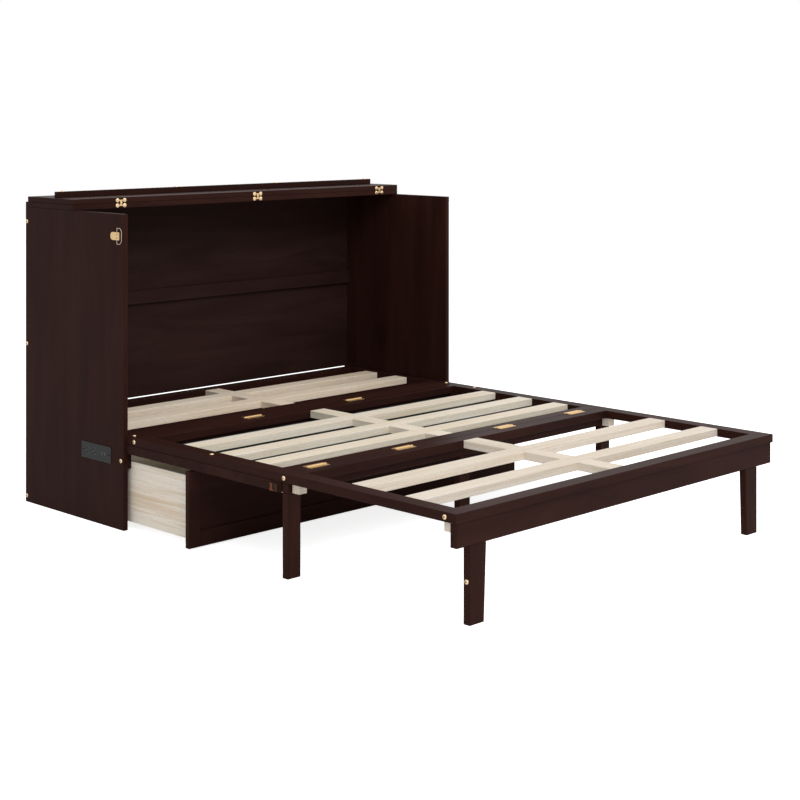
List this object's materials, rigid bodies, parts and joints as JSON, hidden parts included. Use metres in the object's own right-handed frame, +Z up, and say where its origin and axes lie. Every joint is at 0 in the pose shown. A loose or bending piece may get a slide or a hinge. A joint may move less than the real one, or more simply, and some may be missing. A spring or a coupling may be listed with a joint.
{
  "type": "cabinet wall bed",
  "caption": "Dark wood cabinet bed folded out: slatted bed in hinged sections, folded-back top flap, open drawer, fold-under legs and a power outlet in the side.",
  "frame": {"origin": "middle of the folded-out bed's outline, on the floor", "axes": "+X right seen from the foot, +Y back towards the wall, +Z up"},
  "size_m": [1.562, 2.0622, 1.0968],
  "materials": {
    "espresso": "satin",
    "dark_inside": "satin",
    "dark_panel": "matte",
    "pine": "matte",
    "pine_ply": "matte",
    "brass": "satin",
    "steel": "satin",
    "outlet_plastic": "matte",
    "outlet_inserts": "matte"
  },
  "bodies": {
    "root": {"left_side_panel": "espresso", "right_side_panel": "espresso", "fixed_top": "espresso", "back_panel": "dark_inside", "low_back_board": "dark_inside", "back_batten": "dark_inside", "head_rails": "espresso", "front_cross_rail": "espresso", "head_slats": "pine", "head_centre_batten": "pine", "front_cleats": "espresso", "drawer_runners": "pine", "cabinet_hinge_leaves": "brass", "cabinet_bolts": "brass", "latch_plates": "steel", "outlet_module": "outlet_plastic", "outlet_inserts": "outlet_inserts"},
    "flap": {"flap_board": "espresso", "flap_batten": "espresso", "batten_screws": "brass", "flap_hinge_leaves": "brass"},
    "drawer": {"drawer_front_frame": "espresso", "drawer_front_panel": "dark_panel", "drawer_sides": "pine", "drawer_ends": "pine", "drawer_bottom": "pine_ply"},
    "middle_section": {"middle_side_rails": "espresso", "middle_cross_rails": "espresso", "middle_slats": "pine", "middle_centre_batten": "pine", "front_panel_frame": "espresso", "front_panel_board": "dark_panel", "leg_head_rail": "dark_panel", "middle_hinge_leaves": "brass", "middle_bolts": "brass", "latch_keepers": "brass"},
    "foot_section": {"foot_side_rails": "espresso", "foot_cross_rails": "espresso", "foot_slats": "pine", "foot_centre_batten": "pine", "foot_apron": "espresso", "foot_corner_blocks": "pine", "foot_hinge_leaves": "brass", "foot_bolts": "brass"},
    "middle_leg_left_body": {"middle_leg_left": "espresso", "middle_leg_leaf_left": "brass"},
    "middle_leg_centre_body": {"middle_leg_centre": "espresso", "middle_leg_leaf_centre": "brass"},
    "middle_leg_right_body": {"middle_leg_right": "espresso", "middle_leg_leaf_right": "brass"},
    "front_leg_left_body": {"front_leg_left": "espresso", "front_leg_leaf_left": "brass", "front_leg_bolt_left": "brass"},
    "front_leg_right_body": {"front_leg_right": "espresso", "front_leg_leaf_right": "brass", "front_leg_bolt_right": "brass"},
    "bail_left": {"latch_bail_left": "steel"},
    "bail_right": {"latch_bail_right": "steel"}
  },
  "joints": [
    {"name": "flap_hinge", "type": "hinge", "parent": "root", "child": "flap", "pos_m": [0, 0.73185, 1.0548], "axis": [1, 0, 0], "range_deg": [0, 180]},
    {"name": "drawer_slide", "type": "slide", "parent": "root", "child": "drawer", "axis": [0, 1, 0], "range_m": [0, 0.324]},
    {"name": "middle_hinge", "type": "hinge", "parent": "root", "child": "middle_section", "pos_m": [0, 0.41485, 0.3113], "axis": [-1, 0, 0], "range_deg": [0, 90]},
    {"name": "foot_hinge", "type": "hinge", "parent": "middle_section", "child": "foot_section", "pos_m": [0, -0.32615, 0.3113], "axis": [-1, 0, 0], "range_deg": [0, 180]},
    {"name": "middle_leg_left_hinge", "type": "hinge", "parent": "middle_section", "child": "middle_leg_left_body", "pos_m": [-0.7385, -0.32885, 0.2497], "axis": [1, 0, 0], "range_deg": [0, 90]},
    {"name": "middle_leg_centre_hinge", "type": "hinge", "parent": "middle_section", "child": "middle_leg_centre_body", "pos_m": [0, -0.32885, 0.2497], "axis": [1, 0, 0], "range_deg": [0, 90]},
    {"name": "middle_leg_right_hinge", "type": "hinge", "parent": "middle_section", "child": "middle_leg_right_body", "pos_m": [0.7385, -0.32885, 0.2497], "axis": [1, 0, 0], "range_deg": [0, 90]},
    {"name": "front_leg_left_hinge", "type": "hinge", "parent": "foot_section", "child": "front_leg_left_body", "pos_m": [-0.6735, -1.00085, 0.215], "axis": [1, 0, 0], "range_deg": [0, 90]},
    {"name": "front_leg_right_hinge", "type": "hinge", "parent": "foot_section", "child": "front_leg_right_body", "pos_m": [0.6425, -1.00085, 0.215], "axis": [1, 0, 0], "range_deg": [0, 90]},
    {"name": "bail_left_pivot", "type": "hinge", "parent": "root", "child": "bail_left", "pos_m": [-0.7785, 0.47865, 0.963], "axis": [0, 0, -1], "range_deg": [0, 110]},
    {"name": "bail_right_pivot", "type": "hinge", "parent": "root", "child": "bail_right", "pos_m": [0.7785, 0.47865, 0.963], "axis": [0, 0, 1], "range_deg": [0, 110]}
  ]
}
